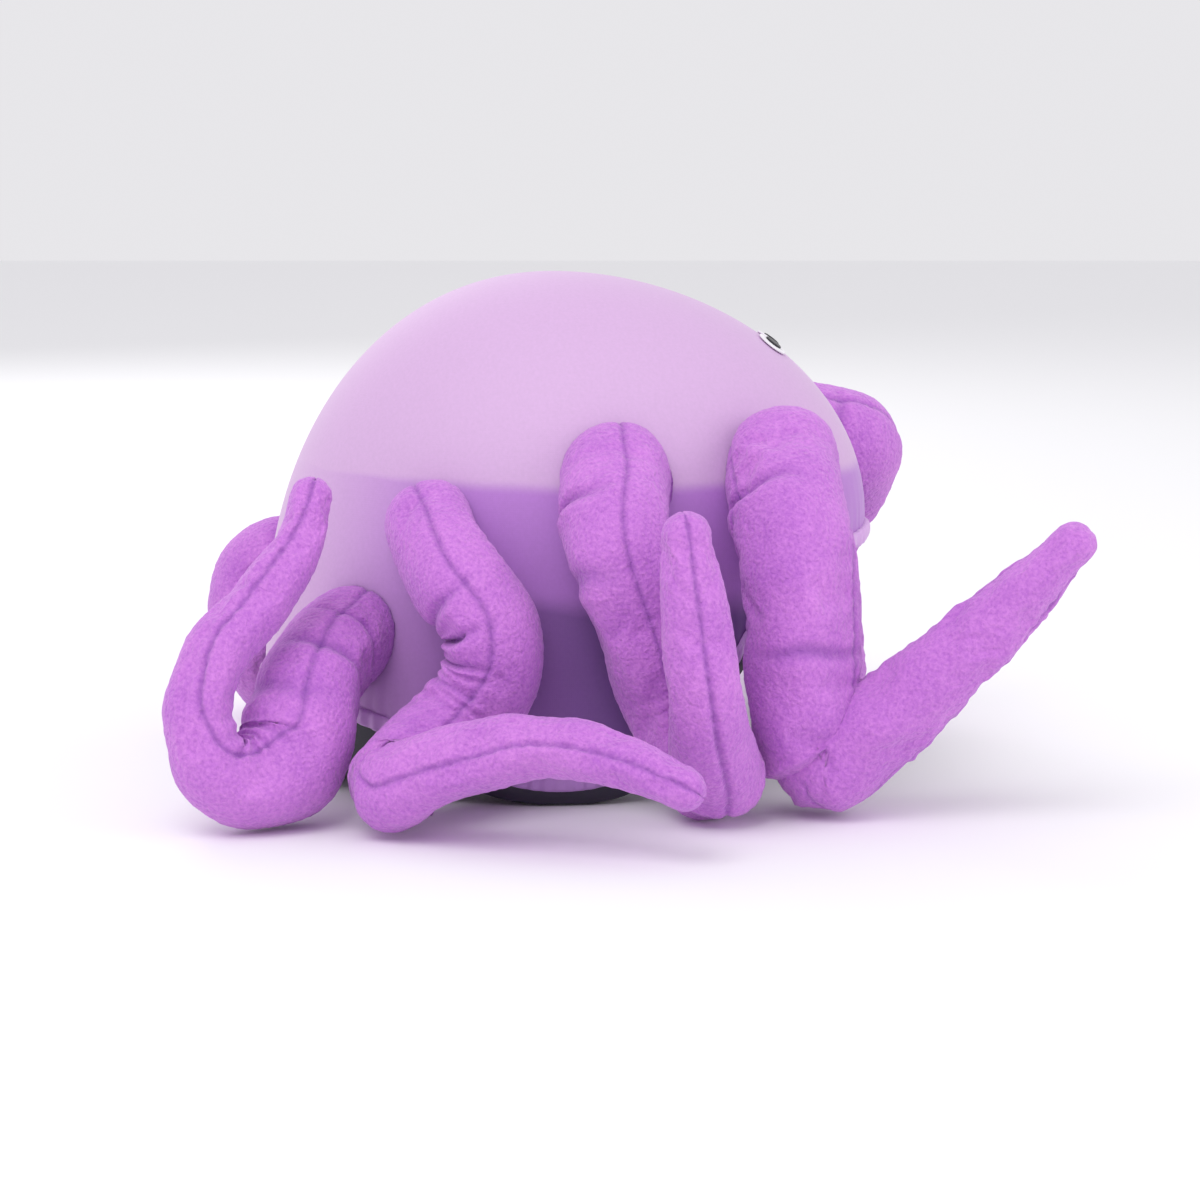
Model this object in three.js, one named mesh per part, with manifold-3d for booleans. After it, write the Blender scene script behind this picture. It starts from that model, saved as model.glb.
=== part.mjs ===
// A helmet in a stretch-knit octopus cover, standing on a table: a hard-shell snow helmet,
// the knit crown pulled over it with two eyes and a gathered elastic hem, and eight stuffed
// fleece tentacles sewn round its sides. Millimetres, +Z up, +X towards the face opening.
import * as THREE from 'three';
import { ParametricGeometry } from 'three/addons/geometries/ParametricGeometry.js';
import { RoundedBoxGeometry } from 'three/addons/geometries/RoundedBoxGeometry.js';
import { mergeVertices } from 'three/addons/utils/BufferGeometryUtils.js';
import Module from 'manifold-3d';

const wasm = await Module();
wasm.setup();

// ---------------------------------------------------------------- driving dimensions
// The outside of the cover: an ellipse from above, and an arc over a straighter skirt from the side.
const DOME = { centreX: 3, width: 108, top: 219 };
const DOME_FRONT = { length: 139, waist: 114, fullness: 1.93, tuck: 0.06 };
const DOME_REAR = { length: 129, waist: 54, fullness: 2.1, tuck: -0.08 };

const KNIT = 1.2; // thickness of the crown fabric
const SHELL_OUT = 3; // depth of each layer's outside and inside below the cover's surface
const SHELL_IN = 5.4;
const LINER_OUT = 7.4;
const LINER_IN = 27;
const SHELL_LIFT = 0.6; // how far the shell's edge stays above the liner's
const TOUCH = 0.3; // gap kept between pieces that touch
const JOINT_GAP = 1; // gap kept between pieces that turn on each other

const DOME_SLICES = 36;
const DOME_ROWS = 9;
const TUBE_SIDES = 10;
const CAP_ROWS = 2;

// Heights of the lower edges round the helmet, as [degrees from the front, height].
const RIM = [[0, 104], [25, 96], [40, 68], [52, 34], [63, 10], [75, 0], [97, 0], [112, 8], [128, 15],
  [145, 8], [165, 0], [180, 0]];
const HEM = [[0, 109], [25, 105], [40, 90], [50, 60], [61, 30], [75, 16], [90, 13], [107, 20],
  [122, 33], [140, 42], [160, 44], [180, 44]];

// ---------------------------------------------------------------- colours and finishes
const FINISH = {
  knit: { color: 0xdfb8e5, roughness: 0.75, metalness: 0 },
  fleece: { color: 0xd48fe0, roughness: 0.95, metalness: 0 },
  felt_white: { color: 0xf4f1f6, roughness: 0.9, metalness: 0 },
  felt_dark: { color: 0x1c1622, roughness: 0.8, metalness: 0 },
  elastic: { color: 0xe8e2ea, roughness: 0.85, metalness: 0 },
  shell: { color: 0x17131c, roughness: 0.35, metalness: 0 },
  foam: { color: 0x2a2630, roughness: 0.9, metalness: 0 },
  padding: { color: 0x1d1a22, roughness: 0.95, metalness: 0 },
  plastic: { color: 0x141218, roughness: 0.5, metalness: 0 },
  webbing: { color: 0x1a171f, roughness: 0.9, metalness: 0 },
};

// ---------------------------------------------------------------- geometry helpers
/** Leaves one closed skin: shared corners merged and collapsed triangles dropped. */
function closed(geometry) {
  geometry.deleteAttribute('normal');
  geometry.deleteAttribute('uv');
  const merged = mergeVertices(geometry, 1e-4);
  const corners = merged.index.array;
  const kept = [];
  for (let i = 0; i < corners.length; i += 3) {
    const [a, b, c] = corners.slice(i, i + 3);
    if (a !== b && b !== c && c !== a) kept.push(a, b, c);
  }
  merged.setIndex(kept);
  return merged;
}

function toSolid(geometry) {
  const skin = closed(geometry);
  return new wasm.Manifold(new wasm.Mesh({
    numProp: 3,
    vertProperties: new Float32Array(skin.getAttribute('position').array),
    triVerts: new Uint32Array(skin.index.array),
  }));
}

function fromSolid(solid) {
  const mesh = solid.getMesh();
  const geometry = new THREE.BufferGeometry();
  geometry.setAttribute('position', new THREE.BufferAttribute(mesh.vertProperties, 3));
  geometry.setIndex(new THREE.BufferAttribute(mesh.triVerts, 1));
  return geometry;
}

/** Keeps the largest piece of a cut, and drops the slivers. */
function largest(solid) {
  return solid.decompose().reduce((best, piece) => (piece.volume() > best.volume() ? piece : best));
}

/** A closed surface made of rings: ring(row) gives a function of the turn, and the ends are points. */
function ringed(rows, ring, sides, firstPole, lastPole) {
  const last = rows + 1;
  return new ParametricGeometry((u, v, target) => {
    const row = Math.round(v * last);
    if (row === 0) return target.copy(firstPole);
    if (row === last) return target.copy(lastPole);
    return ring(row - 1, u % 1, target);
  }, sides, last);
}

// ---------------------------------------------------------------- the dome
function mixRows(rows, degrees) {
  const at = Math.max(1, rows.findIndex(([angle]) => angle >= degrees - 1e-9));
  const [a0, h0] = rows[at - 1];
  const [a1, h1] = rows[at];
  return THREE.MathUtils.lerp(h0, h1, (degrees - a0) / (a1 - a0));
}

/** Height of an edge at an angle from the front, the same on both sides. */
function edgeHeight(rows, angle) {
  const degrees = Math.abs(THREE.MathUtils.radToDeg(Math.atan2(Math.sin(angle), Math.cos(angle))));
  return mixRows(rows, Math.min(degrees, 180));
}

/** The point of the dome at an angle from the front and a height, so deep below the cover's surface. */
function domePoint(angle, height, depth, target = new THREE.Vector3()) {
  const forward = Math.cos(angle);
  const blend = (key) => THREE.MathUtils.lerp(DOME_REAR[key], DOME_FRONT[key], (1 + forward) / 2);
  const length = (forward > 0 ? DOME_FRONT : DOME_REAR).length - depth;
  const reach = 1 / Math.hypot(forward / length, Math.sin(angle) / (DOME.width - depth));
  const waist = blend('waist');
  const fullness = blend('fullness');
  const above = Math.min(Math.max((height - waist) / (DOME.top - depth - waist), 0), 1);
  const below = Math.max((waist - height) / waist, 0);
  const share = (1 - above ** fullness) ** (1 / fullness) - blend('tuck') * below * below;
  return target.set(DOME.centreX + reach * share * forward, reach * share * Math.sin(angle), height);
}

/** A point of the dome on one of its rings, which close up from an edge line to the top. */
function domeWall(edge, depth, row, angle, target) {
  const end = edgeHeight(edge, angle);
  const fall = Math.cos((row / DOME_ROWS) * (Math.PI / 2));
  return domePoint(angle, end + (DOME.top - depth - end) * fall, depth, target);
}

/** A dome shell between two depths, open below along an edge line. */
function domeShell(outer, inner, edge) {
  return ringed(2 * DOME_ROWS, (row, u, target) => (
    row < DOME_ROWS
      ? domeWall(edge, outer, row + 1, -u * 2 * Math.PI, target)
      : domeWall(edge, inner, 2 * DOME_ROWS - row, -u * 2 * Math.PI, target)
  ), DOME_SLICES,
  new THREE.Vector3(DOME.centreX, 0, DOME.top - outer),
  new THREE.Vector3(DOME.centreX, 0, DOME.top - inner));
}

/** The inside of a dome above an edge line, as one solid that stands proud of the cover by a gap. */
function domeCore(gap, edge) {
  const wall = (row, u, target) => domeWall(edge, -gap, row + 1, -u * 2 * Math.PI, target);
  return ringed(DOME_ROWS, wall, DOME_SLICES,
    new THREE.Vector3(DOME.centreX, 0, DOME.top + gap), new THREE.Vector3(DOME.centreX, 0, DOME_REAR.waist));
}

/**
 * A curved block inside the dome, between two angles, two heights and two depths.
 * sag draws its middle further in than its ends.
 */
function domePatch({ from, to, low, high, outer, inner, sag = 0, steps = 6 }) {
  const start = THREE.MathUtils.degToRad(from);
  const end = THREE.MathUtils.degToRad(to);
  const corner = [[outer, low], [inner, low], [inner, (low + high) / 2], [inner, high], [outer, high],
    [outer, (low + high) / 2]];
  const at = (share, k, target) => {
    const [depth, height] = corner[k];
    const drawn = sag * Math.sin(Math.PI * share);
    return domePoint(start + (end - start) * share, height, depth + drawn, target);
  };
  const middle = (share) => {
    const sum = new THREE.Vector3();
    corner.forEach((_, k) => sum.add(at(share, k, new THREE.Vector3())));
    return sum.divideScalar(corner.length);
  };
  return ringed(steps + 1, (row, u, target) => (
    at(row / steps, Math.round(u * corner.length) % corner.length, target)
  ), corner.length, middle(0), middle(1));
}

/** A band of a given section that follows an edge line all the way round, as a hem does. */
function edgeBand(edge, section) {
  const turns = DOME_SLICES;
  const last = section.length;
  return new ParametricGeometry((u, v, target) => {
    const [depth, rise] = section[Math.round(u * last) % last];
    const angle = (Math.round(v * turns) % turns) * (2 * Math.PI / turns);
    return domePoint(angle, edgeHeight(edge, angle) + rise, depth, target);
  }, last, turns);
}

// ---------------------------------------------------------------- tentacles
/**
 * A tentacle's middle line and its radius along it, from the sewn end to the tip.
 * route holds [x, y, z, radius] for each hand-placed point.
 */
function limb(route) {
  const points = route.map(([x, y, z]) => new THREE.Vector3(x, y, z));
  const path = new THREE.CatmullRomCurve3(points, false, 'centripetal');
  const spans = route.length - 1;
  const fineness = 24;
  const lengths = path.getLengths(fineness * spans);
  const frames = path.computeFrenetFrames(fineness * spans, false);
  const total = lengths.at(-1);
  return {
    path,
    total,
    shareAt: (index) => lengths[index * fineness] / total,
    radius(share) {
      const place = THREE.MathUtils.clamp(path.getUtoTmapping(share), 0, 1) * spans;
      const index = Math.min(Math.floor(place), spans - 1);
      return THREE.MathUtils.lerp(route[index][3], route[index + 1][3], place - index);
    },
    axes(share) {
      const along = path.getTangentAt(share);
      const normal = frames.normals[Math.round(share * fineness * spans)];
      const side = new THREE.Vector3().crossVectors(along, normal).normalize();
      return { along, side, up: new THREE.Vector3().crossVectors(side, along) };
    },
  };
}

/** A stretch of a tentacle as a closed tube with round ends, made fatter by a margin. */
function stretch(arm, from, to, margin = 0) {
  const bodyRows = Math.max(2, Math.round(((to - from) * arm.total) / 14)) + 1;
  const rows = bodyRows + 2 * (CAP_ROWS - 1);
  const place = (row) => {
    const inBody = THREE.MathUtils.clamp(row - (CAP_ROWS - 1), 0, bodyRows - 1);
    const beyond = row - (CAP_ROWS - 1) - inBody;
    const share = from + ((to - from) * inBody) / (bodyRows - 1);
    return { share, turn: (beyond / CAP_ROWS) * (Math.PI / 2) };
  };
  const pole = (share, sign) => {
    const reach = sign * (arm.radius(share) + margin);
    return arm.path.getPointAt(share).addScaledVector(arm.path.getTangentAt(share), reach);
  };
  return ringed(rows, (row, u, target) => {
    const { share, turn } = place(row);
    const { along, side, up } = arm.axes(share);
    const radius = arm.radius(share) + margin;
    const round = -u * 2 * Math.PI;
    return target.copy(arm.path.getPointAt(share))
      .addScaledVector(along, radius * Math.sin(turn))
      .addScaledVector(side, radius * Math.cos(turn) * Math.cos(round))
      .addScaledVector(up, radius * Math.cos(turn) * Math.sin(round));
  }, TUBE_SIDES, pole(from, -1), pole(to, 1));
}

/**
 * Cuts a tube back from the next one, which turns on its end point: by a flat face just clear of
 * the next tube's side, or of its round end where the two are nearly in line.
 */
function cutBack(solid, pivot, back, onward, clearance) {
  const normal = back.clone();
  const turnsBack = onward.dot(back) >= 0;
  if (turnsBack) normal.addScaledVector(onward, -onward.dot(back)).normalize();
  return solid.trimByPlane(normal.toArray(), normal.dot(pivot) + clearance);
}

// Each tentacle: its route, the route points that its joints turn on, and each joint's axis and limit.
const TENTACLES = {
  right_nape: {
    route: [[-82, -86, 70, 22], [-92, -109, 61, 23.5], [-98, -128, 46, 24.5], [-103, -141, 27.5, 26],
      [-119, -154, 21, 19], [-132, -160, 28, 16.5], [-138, -158, 47, 15], [-132, -151, 71, 14.5],
      [-114, -138, 94, 14], [-100, -126, 116, 11.5], [-95, -119, 133, 8.5]],
    joints: [{ at: 1, axis: [-0.87, 0.5, 0], limit: 28 }, { at: 3, axis: [0, 0, 1], limit: 45 },
      { at: 6, axis: [0, -1, 0], limit: 55 }],
    segments: ['root', 'upper', 'lower', 'tip'],
  },
  right_back: {
    route: [[-47, -101, 119, 20], [-37, -123, 102, 21.5], [-22, -131, 82, 22.5], [-22, -130, 60, 22],
      [-35, -133, 41, 21], [-59, -160, 21, 20.5], [-42, -174, 29, 16], [0, -189, 42, 14.5],
      [31, -202, 39, 11.5], [56, -213, 31, 8.5]],
    joints: [{ at: 1, axis: [-1, 0, 0], limit: 60 }, { at: 5, axis: [0, 0, -1], limit: 50 }],
  },
  right_ear: {
    route: [[30, -98, 138, 25], [32, -127, 113, 23], [42, -127, 82, 21.5], [54, -124, 46, 21],
      [70, -137, 20.5, 20], [67, -161, 48, 17.5], [62, -167, 88, 15], [58, -168, 124, 10]],
    joints: [{ at: 1, axis: [-1, 0, 0], limit: 15 }, { at: 4, axis: [1, 0, 0], limit: 35 }],
  },
  right_brow: {
    route: [[101, -82, 143, 25], [104, -110, 118, 26], [107, -119, 86, 25.5], [108, -122, 52, 25],
      [116, -123, 23.5, 23], [142, -128, 42, 20.5], [172, -133, 70, 17.5], [199, -138, 98, 13],
      [216, -140, 116, 9.5]],
    joints: [{ at: 1, axis: [-1, 0, 0], limit: 60 }, { at: 4, axis: [0, 1, 0], limit: 34 }],
  },
  left_nape: {
    route: [[-112, 60, 84, 20], [-134, 63, 78, 20], [-141, 64, 58, 20], [-138, 68, 40, 19.5],
      [-130, 82, 21, 20], [-130, 105, 18.5, 17.5], [-121, 135, 15.5, 14.5], [-103, 159, 12, 11.5],
      [-84, 175, 9, 8.5]],
    joints: [{ at: 1, axis: [0.87, 0.5, 0], limit: 50 }, { at: 4, axis: [0, 0, 1], limit: 45 }],
  },
  left_back: {
    route: [[-47, 101, 119, 20], [-38, 122, 102, 21.5], [-31, 131, 80, 22], [-29, 131, 48, 21.5],
      [-30, 139, 21.5, 20.5], [-24, 162, 18.5, 17.5], [-6, 190, 15, 14.5], [18, 210, 12, 11.5],
      [44, 222, 9, 8.5]],
    joints: [{ at: 1, axis: [1, 0, 0], limit: 60 }, { at: 4, axis: [0, 0, 1], limit: 40 }],
  },
  left_ear: {
    route: [[32, 99, 138, 25], [36, 127, 113, 23], [42, 128, 82, 21.5], [46, 127, 48, 21],
      [50, 138, 21.5, 20], [54, 163, 18.5, 17.5], [62, 190, 15, 14.5], [76, 213, 12, 11.5],
      [92, 231, 9, 8.5]],
    joints: [{ at: 1, axis: [1, 0, 0], limit: 60 }, { at: 4, axis: [0.94, -0.34, 0], limit: 50 }],
  },
  left_brow: {
    route: [[108, 62, 142, 24], [140, 73, 133, 26], [131, 94, 102, 24], [122, 99, 70, 22.5],
      [131, 99, 26, 24], [130, 126, 20.5, 19.5], [124, 150, 16.5, 16], [117, 178, 13, 12.5],
      [112, 200, 9.5, 9]],
    joints: [{ at: 1, axis: [0.5, -0.87, 0], limit: 40 }, { at: 4, axis: [0, 0, -1], limit: 45 }],
  },
};

/** The separate pieces of one tentacle, each cut clear of the next one's travel. */
function tentacle(name, { route, joints, segments = ['root', 'upper', 'lower'] }, crown) {
  const arm = limb(route);
  const cuts = [0, ...joints.map(({ at }) => arm.shareAt(at)), 1];
  const between = (from, to) => new THREE.Vector3().subVectors(to, from).normalize();
  const point = (index) => new THREE.Vector3(...route[index]);
  return segments.map((segment, i) => {
    let solid = toSolid(stretch(arm, cuts[i], cuts[i + 1]));
    if (i < joints.length) {
      const { at, axis, limit } = joints[i];
      const pivot = point(at);
      const back = between(pivot, point(at - 1));
      const onward = between(pivot, point(at + 1));
      for (const degrees of [0, limit]) {
        const ahead = onward.clone().applyAxisAngle(new THREE.Vector3(...axis).normalize(),
          THREE.MathUtils.degToRad(degrees));
        solid = cutBack(solid, pivot, back, ahead, route[at][3] + JOINT_GAP);
      }
    }
    if (i === 0) solid = solid.subtract(crown);
    return [`tentacle_${name}_${segment}`, fromSolid(largest(solid))];
  });
}

// ---------------------------------------------------------------- the helmet
const STRAP = { width: 16, thickness: 1.8 };

/** A flat strap that runs across the helmet at one distance from the front, through [y, z] points. */
function crossStrap(x, points, { width, thickness }) {
  const path = new THREE.CatmullRomCurve3(points.map(([y, z]) => new THREE.Vector3(x, y, z)));
  const steps = 10;
  const corner = [[-1, -1], [-1, 1], [1, 1], [1, -1]];
  return ringed(steps + 1, (row, u, target) => {
    const along = path.getTangentAt(row / steps);
    const [across, high] = corner[Math.round(u * corner.length) % corner.length];
    return target.copy(path.getPointAt(row / steps)).add(new THREE.Vector3(
      (across * width) / 2,
      (-along.z * high * thickness) / 2,
      (along.y * high * thickness) / 2,
    ));
  }, corner.length, path.getPointAt(0), path.getPointAt(1));
}

/** A short round disc or knob with bevelled rims, its axis along +Z. */
function knob(radius, height, bevel, sides = 18) {
  return new THREE.LatheGeometry([
    [0, 0], [radius - bevel, 0], [radius, bevel], [radius, height - bevel], [radius - bevel, height],
    [0, height],
  ].map(([r, z]) => new THREE.Vector2(r, z)), sides).rotateX(Math.PI / 2);
}

// ---------------------------------------------------------------- assembly
// Everything above is measured from under the helmet; the object's origin is the middle of its footprint.
const FOOTPRINT_CENTRE = { x: 32.4, y: 9.4 };
const object = new THREE.Group();
const pieces = new THREE.Group();
pieces.position.set(-FOOTPRINT_CENTRE.x, -FOOTPRINT_CENTRE.y, 0);
object.add(pieces);

function add(name, finish, geometry) {
  const mesh = new THREE.Mesh(closed(geometry), new THREE.MeshStandardMaterial(FINISH[finish]));
  mesh.name = name;
  pieces.add(mesh);
  return mesh;
}

// Helmet: hard shell, foam liner and comfort pads.
add('helmet_shell', 'shell', domeShell(SHELL_OUT, SHELL_IN, RIM.map(([a, h]) => [a, h + SHELL_LIFT])));
add('foam_liner', 'foam', domeShell(LINER_OUT, LINER_IN, RIM));

const CROWN_PAD = { radius: 32, thickness: 8, underside: 174 };
const crownPad = add('crown_pad', 'padding', knob(CROWN_PAD.radius, CROWN_PAD.thickness, 2));
crownPad.position.set(DOME.centreX + 4, 0, CROWN_PAD.underside);
const BROW_PAD = { from: -38, to: 38, low: 112, high: 138, outer: 30, inner: 37, steps: 8 };
const NAPE_PAD = { from: 150, to: 210, low: 62, high: 96, outer: 29, inner: 36 };
const EAR_PAD = { low: 22, high: 74, outer: 28.4, inner: 36 };
add('brow_pad', 'padding', domePatch(BROW_PAD));
add('nape_pad', 'padding', domePatch(NAPE_PAD));
add('ear_pad_left', 'padding', domePatch({ ...EAR_PAD, from: 58, to: 92 }));
add('ear_pad_right', 'padding', domePatch({ ...EAR_PAD, from: -92, to: -58 }));

// Fit system: a springy nape cradle drawn forward by a dial behind it.
const CRADLE = { from: 121, to: 239, low: 16, high: 46, outer: 28, inner: 31, sag: 21 };
const DIAL = { radius: 12, thickness: 8, height: 31, clearance: 2.5 };
const dialX = domePoint(Math.PI, DIAL.height, CRADLE.outer + CRADLE.sag).x;
add('nape_cradle', 'plastic', domePatch({ ...CRADLE, steps: 14 }));
const dial = add('fit_dial', 'plastic', knob(DIAL.radius, DIAL.thickness, 1.5));
dial.rotation.y = -Math.PI / 2;
dial.position.set(dialX - DIAL.clearance, 0, DIAL.height);

// Chin strap, buckled and pushed up inside, so that it lies on the table under the helmet.
const STRAP_X = -18;
const STRAP_HALF = [[71, 34], [69.5, 18], [61, 5], [42, 2.2], [21, 2.2]];
const ANCHOR = { radius: 8, thickness: 3.5, reach: 76, height: 30 };
for (const [side, sign] of [['left', 1], ['right', -1]]) {
  add(`chin_strap_${side}`, 'webbing', crossStrap(STRAP_X, STRAP_HALF.map(([y, z]) => [sign * y, z]), STRAP));
  const anchor = add(`strap_anchor_${side}`, 'plastic', knob(ANCHOR.radius, ANCHOR.thickness, 1));
  anchor.rotation.x = sign * Math.PI / 2;
  anchor.position.set(STRAP_X, sign * ANCHOR.reach, ANCHOR.height);
}
const BUCKLE = { length: 22, width: 20, height: 7, tongue: 0.7, tongueHeight: 0.45, slack: 1 };
const tongueSize = [BUCKLE.width * BUCKLE.tongue, BUCKLE.length, BUCKLE.height * BUCKLE.tongueHeight];
const tongueAt = [STRAP_X, -BUCKLE.length * 0.3, BUCKLE.height / 2 + TOUCH];
add('buckle_tongue', 'plastic', new RoundedBoxGeometry(...tongueSize, 1, 1).translate(...tongueAt));
const socket = new RoundedBoxGeometry(BUCKLE.width, BUCKLE.length, BUCKLE.height, 1, 2);
socket.translate(STRAP_X, BUCKLE.length * 0.35, BUCKLE.height / 2 + TOUCH);
const pocket = new THREE.BoxGeometry(...tongueSize.map((side) => side + BUCKLE.slack)).translate(...tongueAt);
add('buckle_socket', 'plastic', fromSolid(toSolid(socket).subtract(toSolid(pocket))));

// Knit crown with its goggle-strap slots at the back, and the folded hem that holds the elastic.
const SLOT = { height: 26, width: 3.5, depth: 20, angle: 158, centre: 97 };
const HEM_GAP = 1.2; // height left between the crown's lower edge and the hem
const CROWN_EDGE = HEM.map(([a, h]) => [a, h + HEM_GAP]);
let crown = toSolid(domeShell(0, KNIT, CROWN_EDGE));
for (const sign of [1, -1]) {
  const angle = THREE.MathUtils.degToRad(sign * SLOT.angle);
  const cutter = new THREE.BoxGeometry(SLOT.depth, SLOT.width, SLOT.height);
  cutter.rotateZ(angle);
  cutter.translate(...domePoint(angle, SLOT.centre, 0));
  crown = crown.subtract(toSolid(cutter));
}
add('crown_cover', 'knit', fromSolid(crown));

const HEM_HEIGHT = 7;
const HEM_WALL = 0.7;
add('hem_casing', 'knit', edgeBand(HEM, [
  [-2.2, 0], [-2.2, -HEM_HEIGHT], [1.9, -HEM_HEIGHT], [1.9, -1.6], [1.9 - HEM_WALL, -1.6],
  [1.9 - HEM_WALL, HEM_WALL - HEM_HEIGHT], [HEM_WALL - 2.2, HEM_WALL - HEM_HEIGHT],
  [HEM_WALL - 2.2, -HEM_WALL], [1.9, -HEM_WALL], [1.9, 0],
]));
add('hem_elastic', 'elastic', edgeBand(HEM, [[-1.1, -1.6], [-1.1, -5.6], [0.6, -5.6], [0.6, -1.6]]));

// Felt eyes on the front of the crown.
const EYE = { angle: 6, height: 187, white: 7, pupil: 4, thickness: 1.2, lift: 1 };
for (const [side, sign] of [['left', 1], ['right', -1]]) {
  const angle = THREE.MathUtils.degToRad(sign * EYE.angle);
  const centre = domePoint(angle, EYE.height, 0);
  const east = domePoint(angle + 0.01, EYE.height, 0).sub(centre);
  const down = domePoint(angle, EYE.height - 1, 0).sub(centre);
  const outward = new THREE.Vector3().crossVectors(down, east).normalize();
  const layers = [
    ['eye_white', 'felt_white', EYE.white, 0],
    ['eye_pupil', 'felt_dark', EYE.pupil, EYE.thickness + TOUCH],
  ];
  for (const [part, finish, radius, level] of layers) {
    const disc = add(`${part}_${side}`, finish, knob(radius, EYE.thickness, 0.4));
    disc.position.copy(centre).addScaledVector(outward, EYE.lift + level);
    disc.quaternion.setFromUnitVectors(new THREE.Vector3(0, 0, 1), outward);
  }
}

// Eight stuffed tentacles, four on each side.
const core = toSolid(domeCore(TOUCH, CROWN_EDGE));
for (const [name, spec] of Object.entries(TENTACLES)) {
  for (const [node, geometry] of tentacle(name, spec, core)) add(node, 'fleece', geometry);
}

export default object;
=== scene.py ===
"""A helmet in a stretch-knit octopus cover, made in the order in which it is put together.

Metres, +Z up, +X towards the face opening. Each section holds one piece or one group of like pieces.
"""

import bmesh
import bpy
import numpy as np
from mathutils import Matrix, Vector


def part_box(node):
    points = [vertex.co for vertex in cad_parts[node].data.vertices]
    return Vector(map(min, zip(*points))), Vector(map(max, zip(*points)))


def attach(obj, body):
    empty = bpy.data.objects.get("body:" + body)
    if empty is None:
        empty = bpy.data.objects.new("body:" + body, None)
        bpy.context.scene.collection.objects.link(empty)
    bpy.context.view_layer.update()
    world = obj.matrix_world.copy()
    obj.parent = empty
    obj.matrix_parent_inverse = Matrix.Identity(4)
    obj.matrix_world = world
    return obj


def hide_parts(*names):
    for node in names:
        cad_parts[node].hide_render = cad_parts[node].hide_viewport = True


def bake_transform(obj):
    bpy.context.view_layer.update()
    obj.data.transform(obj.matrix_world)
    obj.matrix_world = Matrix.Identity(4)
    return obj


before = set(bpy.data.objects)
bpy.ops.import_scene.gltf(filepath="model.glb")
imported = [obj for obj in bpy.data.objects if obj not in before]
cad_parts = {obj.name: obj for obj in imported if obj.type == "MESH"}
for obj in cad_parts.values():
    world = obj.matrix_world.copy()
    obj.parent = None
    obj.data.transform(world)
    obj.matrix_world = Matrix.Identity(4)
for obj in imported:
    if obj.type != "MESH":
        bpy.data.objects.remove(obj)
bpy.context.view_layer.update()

# ------------------------------------------------------------------ the room
# A plain pale sheet to stand on, one large soft lamp above and in front, a weaker one at each side,
# and an even pale surround.
MM = 0.001
LENS_MM = 100
VIEW_DISTANCE = 1.5
VIEW_TILT = np.radians(9)
VIEW_TARGET = np.array([-0.0085, -0.0094, 0.0715])

scene = bpy.context.scene
scene.view_settings.view_transform = "Standard"


def aim(thing, place, target):
    """Puts an object at a place, with its -Z axis towards a target and its +Y axis upwards."""
    back = np.array(place, float) - np.array(target, float)
    back /= np.linalg.norm(back)
    right = np.cross([0, 0, 1], back)
    right /= np.linalg.norm(right)
    turned = np.column_stack([right, np.cross(back, right), back])
    matrix = np.eye(4)
    matrix[:3, :3] = turned
    matrix[:3, 3] = place
    thing.matrix_world = Matrix(matrix)


def lamp(name, place, target, size, power, colour=(1, 1, 1)):
    """Adds a square area lamp."""
    data = bpy.data.lights.new(name, "AREA")
    data.size = size
    data.energy = power
    data.color = colour
    thing = bpy.data.objects.new(name, data)
    scene.collection.objects.link(thing)
    aim(thing, place, target)


camera = bpy.data.objects.new("camera", bpy.data.cameras.new("camera"))
scene.collection.objects.link(camera)
camera.data.lens = LENS_MM
camera.data.clip_end = 10
aim(camera, VIEW_TARGET + VIEW_DISTANCE * np.array([0, -np.cos(VIEW_TILT), np.sin(VIEW_TILT)]), VIEW_TARGET)
scene.camera = camera

MIDDLE = (0, 0, 0.08)
lamp("lamp_key", (-0.5, -1.0, 1.5), MIDDLE, 1.1, 11)
lamp("lamp_right", (1.5, -0.7, 0.7), MIDDLE, 1.0, 5)
lamp("lamp_back", (-0.7, 1.5, 1.1), MIDDLE, 1.2, 8)

world = bpy.data.worlds.new("surround")
world.use_nodes = True
world.node_tree.nodes["Background"].inputs["Color"].default_value = (0.98, 0.97, 1, 1)
world.node_tree.nodes["Background"].inputs["Strength"].default_value = 0.82
scene.world = world

FLOOR_HALF = 4.0


def plain_material(name, colour, roughness):
    """A new material, and its shader."""
    made = bpy.data.materials.new(name)
    made.use_nodes = True
    shader = made.node_tree.nodes["Principled BSDF"]
    shader.inputs["Base Color"].default_value = (*colour, 1)
    shader.inputs["Roughness"].default_value = roughness
    return made, shader


floor_mesh = bpy.data.meshes.new("floor")
floor_corners = [(x * FLOOR_HALF, y * FLOOR_HALF, 0) for x, y in ((-1, -1), (1, -1), (1, 1), (-1, 1))]
floor_mesh.from_pydata(floor_corners, [], [(0, 1, 2, 3)])
floor = bpy.data.objects.new("floor", floor_mesh)
scene.collection.objects.link(floor)
floor_mesh.materials.append(plain_material("floor_paper", (0.92, 0.92, 0.93), 0.9)[0])

# ------------------------------------------------------------------ helmet shell
# The hard shell is a thin moulded dome, near-black, glossy but finely scuffed.
HELMET = np.array([-0.0324, -0.0094, 0.0])
DOME = {"centre_x": 3, "width": 108, "top": 219}
DOME_FRONT = {"length": 139, "waist": 114, "fullness": 1.93, "tuck": 0.06}
DOME_REAR = {"length": 129, "waist": 54, "fullness": 2.1, "tuck": -0.08}
RIM_ANGLES = [0, 25, 40, 52, 63, 75, 97, 112, 128, 145, 165, 180]
RIM_HEIGHTS = [104, 96, 68, 34, 10, 0, 0, 8, 15, 8, 0, 0]
SHELL_LIFT = 0.6
SHELL_OUT = 3
SHELL_IN = 5.4


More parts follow.
